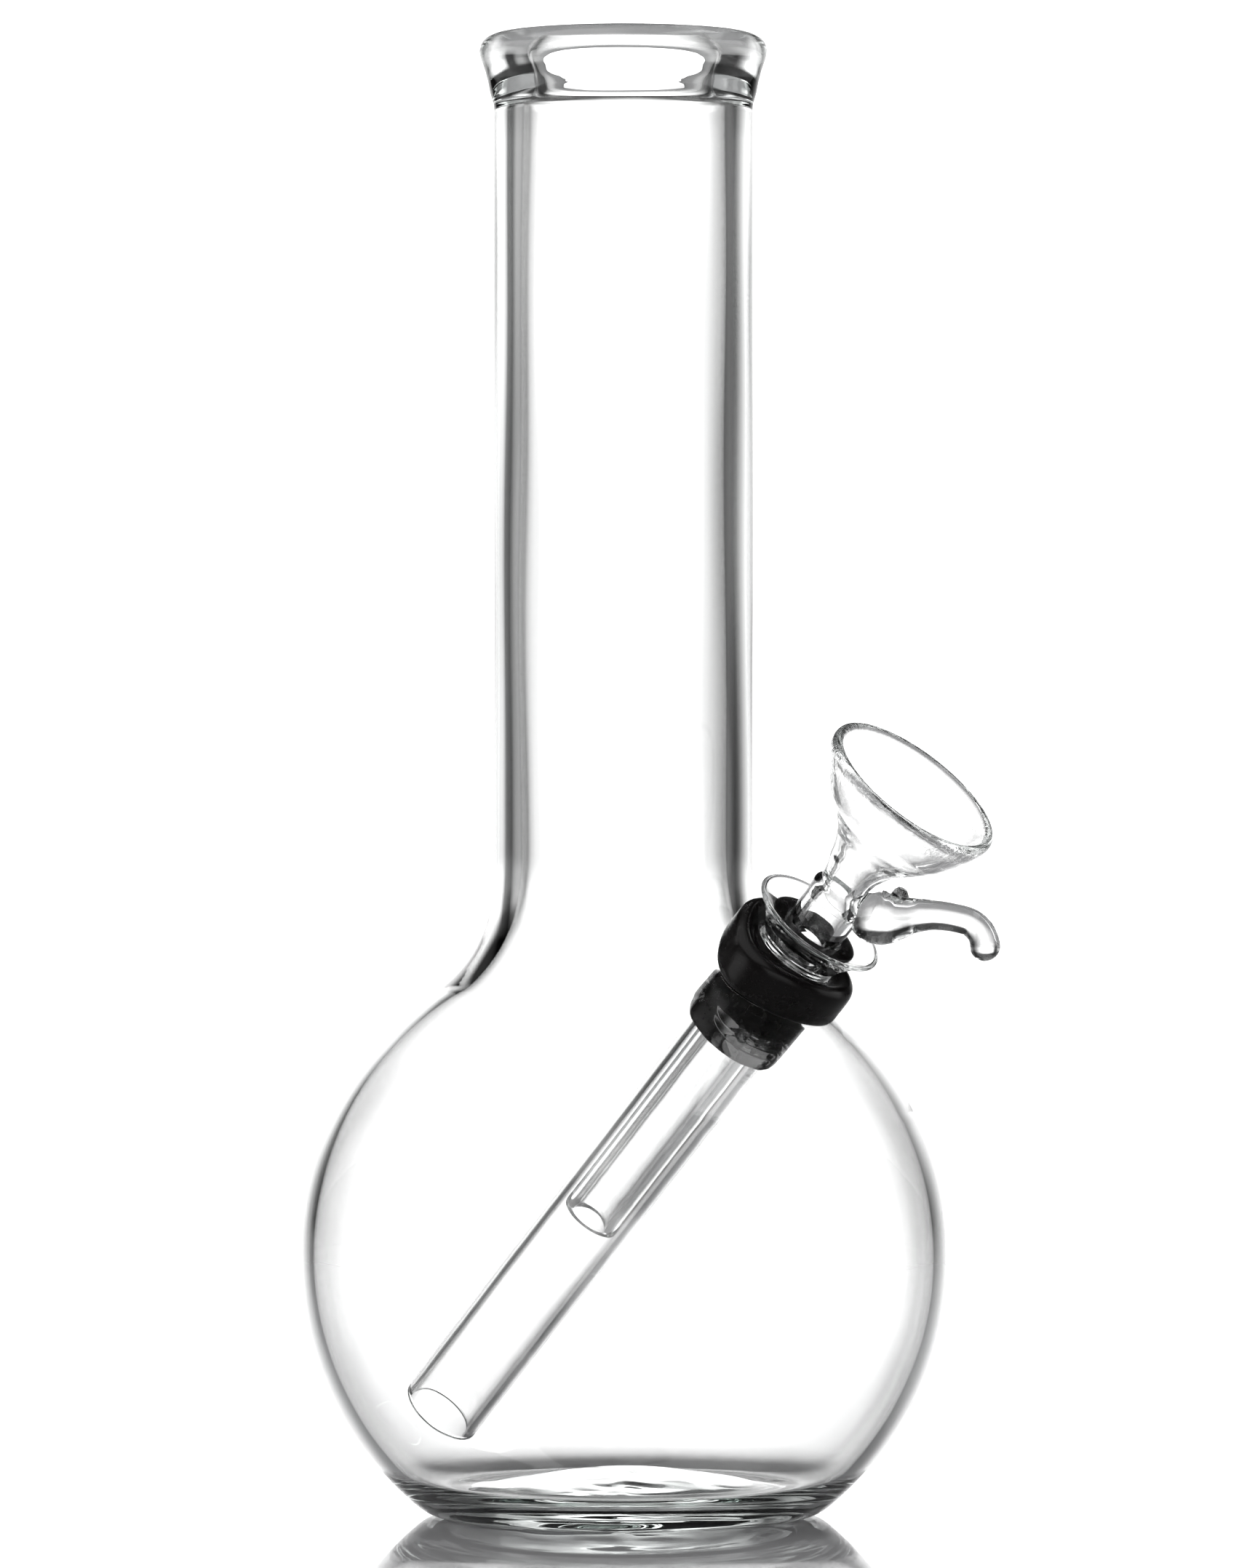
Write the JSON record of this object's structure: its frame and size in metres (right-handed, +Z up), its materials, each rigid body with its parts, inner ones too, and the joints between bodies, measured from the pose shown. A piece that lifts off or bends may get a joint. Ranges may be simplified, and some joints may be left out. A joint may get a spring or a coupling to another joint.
{
  "type": "glass water pipe",
  "caption": "Clear glass bubbler flask with flat bottom, straight neck, side grommet, tilted inner tube and pull-out funnel bowl with a hooked pull.",
  "frame": {"origin": "centre of the flask's flat bottom, on the surface it stands on", "axes": "+Z up along the neck, +X towards the side hole, so the tilted tube lies in the XZ plane"},
  "size_m": [0.1087, 0.0952, 0.2175],
  "materials": {
    "flask_glass": "fire-polished clear borosilicate",
    "grommet_rubber": "satin moulded black rubber",
    "tube_glass": "fire-polished clear borosilicate",
    "seal_rubber": "satin moulded black rubber",
    "bowl_glass": "fire-polished clear borosilicate"
  },
  "bodies": {
    "flask": {"flask_body": "flask_glass"},
    "grommet": {"grommet": "grommet_rubber"},
    "downstem": {"downstem": "tube_glass"},
    "seal": {"slide_seal": "seal_rubber"},
    "bowl": {"bowl_slide": "bowl_glass"}
  },
  "joints": [
    {"name": "grommet_turn", "type": "hinge", "parent": "flask", "child": "grommet", "pos_m": [0, 0, 0.05], "axis": [0.6691, 0, 0.7431], "continuous": true},
    {"name": "downstem_pull", "type": "slide", "parent": "grommet", "child": "downstem", "axis": [0.6691, 0, 0.7431], "range_m": [0, 0.098]},
    {"name": "seal_turn", "type": "hinge", "parent": "downstem", "child": "seal", "pos_m": [0, 0, 0.05], "axis": [0.6691, 0, 0.7431], "continuous": true},
    {"name": "bowl_pull", "type": "slide", "parent": "seal", "child": "bowl", "axis": [0.6691, 0, 0.7431], "range_m": [0, 0.062]}
  ]
}
